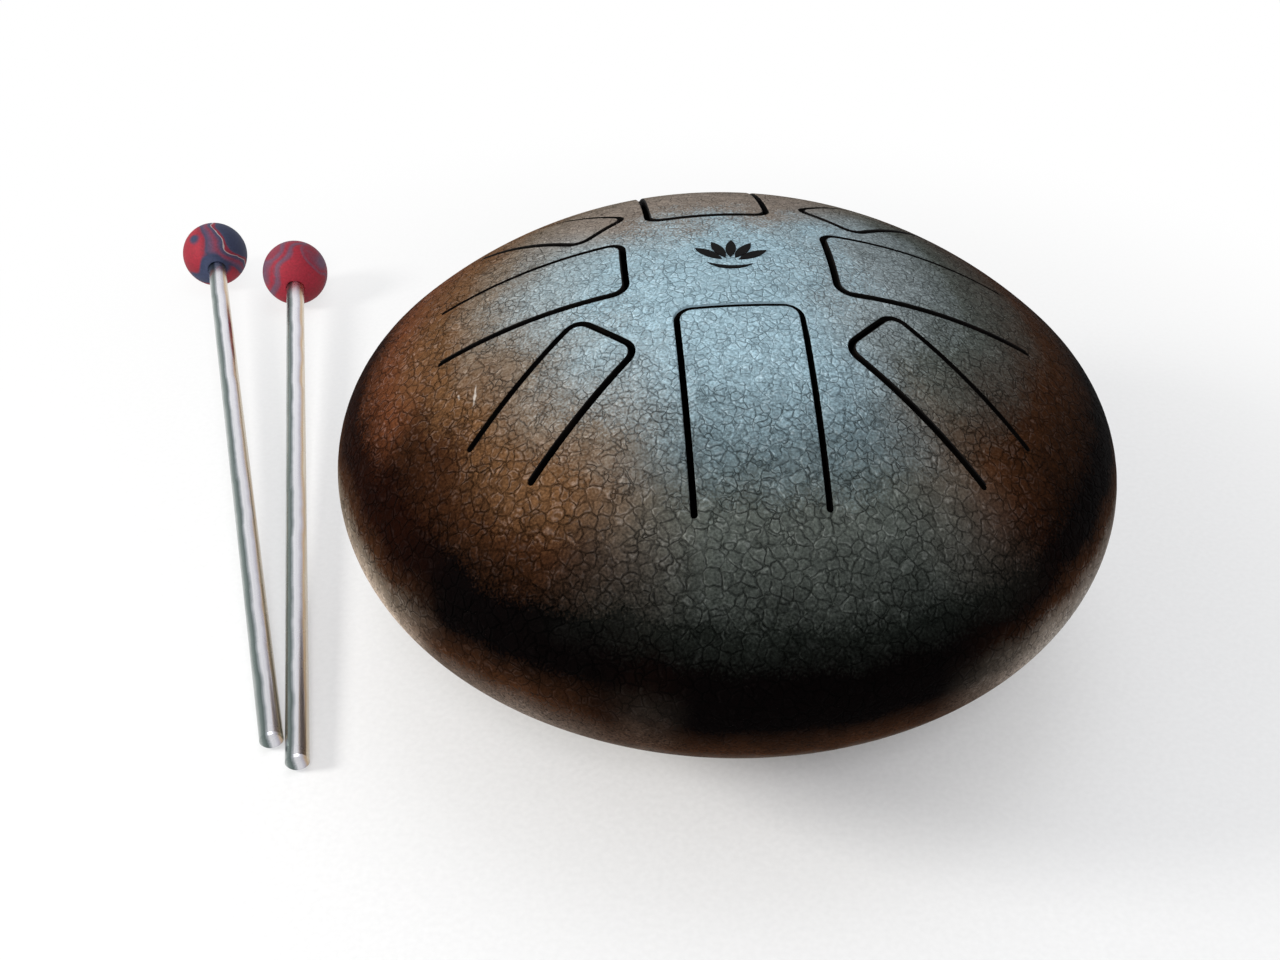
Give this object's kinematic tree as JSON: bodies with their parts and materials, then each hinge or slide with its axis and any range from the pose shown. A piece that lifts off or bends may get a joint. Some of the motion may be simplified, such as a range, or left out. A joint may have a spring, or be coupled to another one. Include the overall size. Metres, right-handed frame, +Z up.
{
  "type": "steel tongue drum",
  "caption": "Lens-shaped steel drum of two welded dishes, its top cut into flexing tongues that ring when struck, on rubber feet, with ball-headed mallets.",
  "frame": {"origin": "on the drum's axis, on the surface that its feet stand on", "axes": "+Z up along the drum's axis, the player sits at -Y, the mallets lie to the left at -X"},
  "size_m": [0.3123, 0.2919, 0.1192],
  "materials": {
    "top_crackle_paint": "glossy crackle paint, blue-grey to brown",
    "bottom_crackle_paint": "glossy crackle paint, dark brown to black",
    "black_film": "matt black film",
    "foot_rubber": "moulded black rubber",
    "zinc_steel": "bright zinc plate",
    "polished_aluminium": "drawn and polished",
    "marbled_rubber": "marbled solid rubber, red with dark blue and grey swirls"
  },
  "bodies": {
    "drum": {"top_shell": "top_crackle_paint", "bottom_shell": "bottom_crackle_paint", "rim_weld": "bottom_crackle_paint", "lotus_emblem": "black_film", "foot_1": "foot_rubber", "foot_2": "foot_rubber", "foot_3": "foot_rubber", "foot_4": "foot_rubber", "foot_washers": "zinc_steel", "foot_screws": "zinc_steel"},
    "tongue_front": {"tongue_front": "top_crackle_paint"},
    "tongue_front_right": {"tongue_front_right": "top_crackle_paint"},
    "tongue_right": {"tongue_right": "top_crackle_paint"},
    "tongue_back_right": {"tongue_back_right": "top_crackle_paint"},
    "tongue_back": {"tongue_back": "top_crackle_paint"},
    "tongue_back_left": {"tongue_back_left": "top_crackle_paint"},
    "tongue_left": {"tongue_left": "top_crackle_paint"},
    "tongue_front_left": {"tongue_front_left": "top_crackle_paint"},
    "left_mallet": {"left_mallet_rod": "polished_aluminium", "left_mallet_head": "marbled_rubber"},
    "right_mallet": {"right_mallet_rod": "polished_aluminium", "right_mallet_head": "marbled_rubber"}
  },
  "joints": [
    {"name": "tongue_front_flex", "type": "hinge", "parent": "drum", "child": "tongue_front", "pos_m": [0.00898, -0.07208, 0.09648], "axis": [0.9914, 0.1305, 0], "range_deg": [-0.4, 0.4], "stiffness_Nm_per_rad": 204},
    {"name": "tongue_front_right_flex", "type": "hinge", "parent": "drum", "child": "tongue_front_right", "pos_m": [0.06432, -0.04683, 0.09167], "axis": [0.6088, 0.7934, 0], "range_deg": [-0.4, 0.4], "stiffness_Nm_per_rad": 163},
    {"name": "tongue_right_flex", "type": "hinge", "parent": "drum", "child": "tongue_right", "pos_m": [0.07213, 0.00849, 0.09648], "axis": [-0.1305, 0.9914, 0], "range_deg": [-0.4, 0.4], "stiffness_Nm_per_rad": 210},
    {"name": "tongue_back_right_flex", "type": "hinge", "parent": "drum", "child": "tongue_back_right", "pos_m": [0.04759, 0.05874, 0.09451], "axis": [-0.7934, 0.6088, 0], "range_deg": [-0.4, 0.4], "stiffness_Nm_per_rad": 165},
    {"name": "tongue_back_flex", "type": "hinge", "parent": "drum", "child": "tongue_back", "pos_m": [-0.01245, 0.07161, 0.09648], "axis": [-0.9914, -0.1305, 0], "range_deg": [-0.4, 0.4], "stiffness_Nm_per_rad": 227},
    {"name": "tongue_back_left_flex", "type": "hinge", "parent": "drum", "child": "tongue_back_left", "pos_m": [-0.06238, 0.04283, 0.09452], "axis": [-0.6088, -0.7934, 0], "range_deg": [-0.4, 0.4], "stiffness_Nm_per_rad": 167},
    {"name": "tongue_left_flex", "type": "hinge", "parent": "drum", "child": "tongue_left", "pos_m": [-0.07107, -0.00885, 0.09713], "axis": [0.1305, -0.9914, 0], "range_deg": [-0.4, 0.4], "stiffness_Nm_per_rad": 184},
    {"name": "tongue_front_left_flex", "type": "hinge", "parent": "drum", "child": "tongue_front_left", "pos_m": [-0.04997, -0.0569, 0.09452], "axis": [0.7934, -0.6088, 0], "range_deg": [-0.4, 0.4], "stiffness_Nm_per_rad": 186},
    {"name": "left_mallet_lift", "type": "slide", "parent": "drum", "child": "left_mallet", "axis": [0, 0, 1], "range_m": [0, 0.15]},
    {"name": "right_mallet_lift", "type": "slide", "parent": "drum", "child": "right_mallet", "axis": [0, 0, 1], "range_m": [0, 0.15]}
  ]
}
